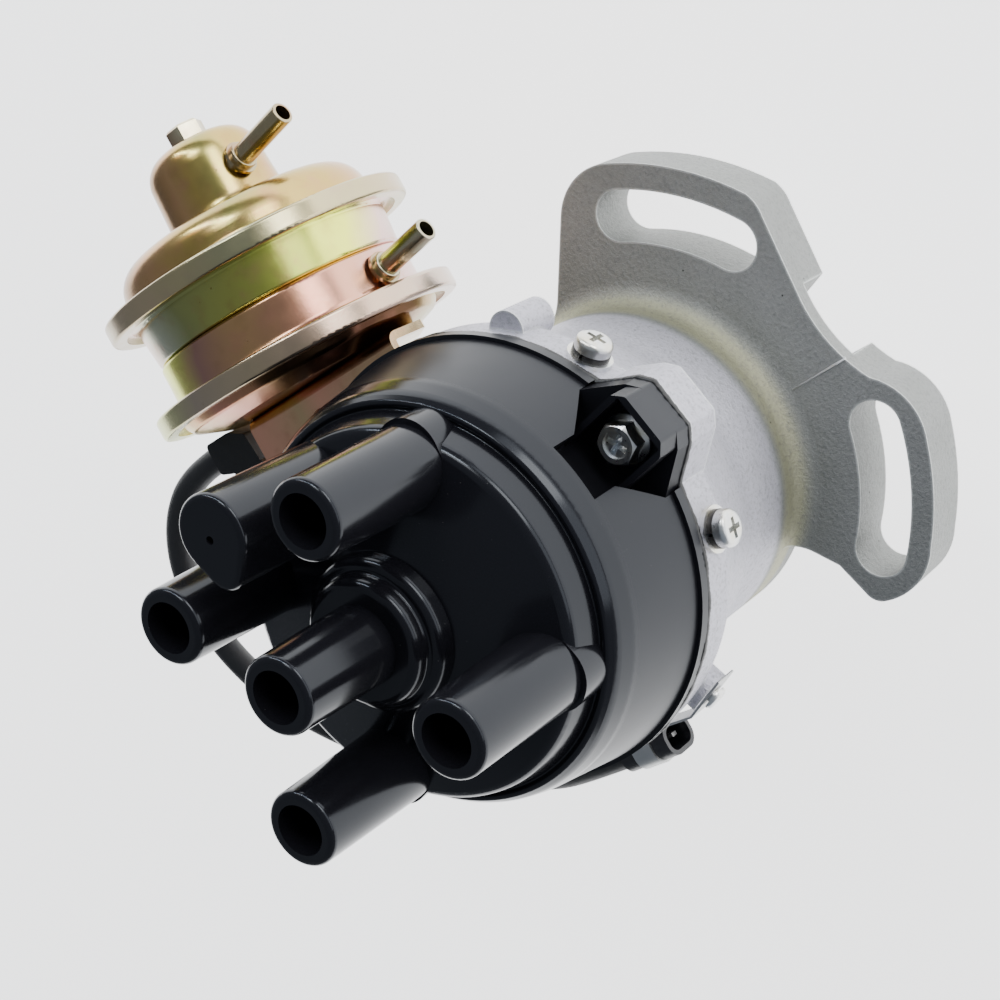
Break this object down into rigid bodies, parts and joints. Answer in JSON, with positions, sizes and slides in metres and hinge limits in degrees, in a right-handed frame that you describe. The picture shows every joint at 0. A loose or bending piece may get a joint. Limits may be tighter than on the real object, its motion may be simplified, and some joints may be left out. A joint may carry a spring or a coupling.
{
  "type": "ignition distributor",
  "caption": "Camshaft-driven ignition distributor: black towered cap, cast housing with two slotted ears, a twin vacuum advance unit, and a rotor, governor and pickup inside.",
  "frame": {"origin": "on the shaft's axis, in the plane of the rear mounting face", "axes": "+Z along the shaft towards the cap's towers, +X towards the vacuum unit and along its axis"},
  "size_m": [0.1618, 0.1639, 0.1686],
  "materials": {
    "cast_aluminium": "bead-blasted casting",
    "cap_plastic": "gloss moulding",
    "rubber": "satin",
    "passivated_steel": "yellow zinc plating with a pink and green sheen",
    "screw_zinc": "bright zinc plating",
    "steel": "ground or pressed steel",
    "spring_steel": "drawn wire",
    "bronze": "sintered",
    "brass": "rolled",
    "terminal_aluminium": "turned",
    "carbon": "pressed carbon",
    "magnet": "sintered",
    "coil_winding": "lacquered winding",
    "black_plastic": "satin moulding"
  },
  "bodies": {
    "body": {"housing": "cast_aluminium", "o_ring": "rubber", "cap": "cap_plastic", "cap_seal": "rubber", "cap_screws": "screw_zinc", "outer_terminals": "terminal_aluminium", "centre_terminal": "terminal_aluminium", "brush_spring": "spring_steel", "lower_bush": "bronze", "upper_bush": "bronze", "thrust_washer": "steel", "oil_seal": "rubber", "base_plate": "steel", "plate_screws": "screw_zinc", "plate_spring_washers": "screw_zinc", "plate_washers": "screw_zinc", "vacuum_cover": "passivated_steel", "outer_drum": "passivated_steel", "inner_drum": "passivated_steel", "vacuum_dish": "passivated_steel", "outer_diaphragm": "rubber", "inner_diaphragm": "rubber", "vacuum_plug": "passivated_steel", "outer_nipple": "passivated_steel", "inner_nipple": "passivated_steel", "vacuum_bracket": "passivated_steel", "bracket_screws": "screw_zinc", "lead_duct": "rubber", "pickup_lead": "black_plastic", "connector": "black_plastic", "connector_pins": "brass", "connector_clip": "screw_zinc", "clip_screw": "screw_zinc"},
    "drive_shaft": {"shaft": "steel", "drive_coupling": "steel", "drive_pin": "steel", "governor_plate": "steel", "weight_pins": "steel", "governor_springs": "spring_steel"},
    "advance": {"advance_sleeve": "steel", "reluctor": "steel", "rotor_arm": "black_plastic", "rotor_blade": "brass", "rotor_screw": "screw_zinc"},
    "flyweight_a": {"weight_a": "steel"},
    "flyweight_b": {"weight_b": "steel"},
    "pickup": {"pickup_plate": "steel", "pickup_magnet": "magnet", "pickup_core": "steel", "pickup_coil": "coil_winding"},
    "vacuum_pull": {"pull_rod": "steel", "outer_piston": "steel", "inner_piston": "steel", "vacuum_spring": "spring_steel"},
    "brush": {"carbon_brush": "carbon"}
  },
  "joints": [
    {"name": "shaft_spin", "type": "hinge", "parent": "body", "child": "drive_shaft", "pos_m": [0, 0, 0], "axis": [0, 0, 1], "continuous": true},
    {"name": "centrifugal_advance", "type": "hinge", "parent": "drive_shaft", "child": "advance", "pos_m": [0, 0, 0], "axis": [0, 0, 1], "range_deg": [0, 12], "stiffness_Nm_per_rad": 0.4, "springref_deg": -2.86},
    {"name": "flyweight_a_swing", "type": "hinge", "parent": "drive_shaft", "child": "flyweight_a", "pos_m": [0.019, 0, 0], "axis": [0, 0, 1], "range_deg": [-19.6, 0]},
    {"name": "flyweight_b_swing", "type": "hinge", "parent": "drive_shaft", "child": "flyweight_b", "pos_m": [-0.019, 0, 0], "axis": [0, 0, 1], "range_deg": [-19.6, 0]},
    {"name": "vacuum_advance", "type": "hinge", "parent": "body", "child": "pickup", "pos_m": [0, 0, 0], "axis": [0, 0, -1], "range_deg": [0, 10], "stiffness_Nm_per_rad": 1, "springref_deg": -2.86},
    {"name": "vacuum_pull", "type": "slide", "parent": "body", "child": "vacuum_pull", "axis": [1, 0, 0], "range_m": [0, 0.0055]},
    {"name": "brush_slide", "type": "slide", "parent": "body", "child": "brush", "axis": [0, 0, 1], "range_m": [0, 0.0012], "stiffness_N_per_m": 150, "springref_m": -0.002, "deforming": ["brush_spring"]}
  ],
  "couplings": [
    {"joint": "flyweight_a_swing", "follows": "centrifugal_advance", "ratio": -1.62},
    {"joint": "flyweight_b_swing", "follows": "centrifugal_advance", "ratio": -1.62},
    {"joint": "vacuum_pull", "follows": "vacuum_advance", "m_per_rad": 0.0312}
  ]
}
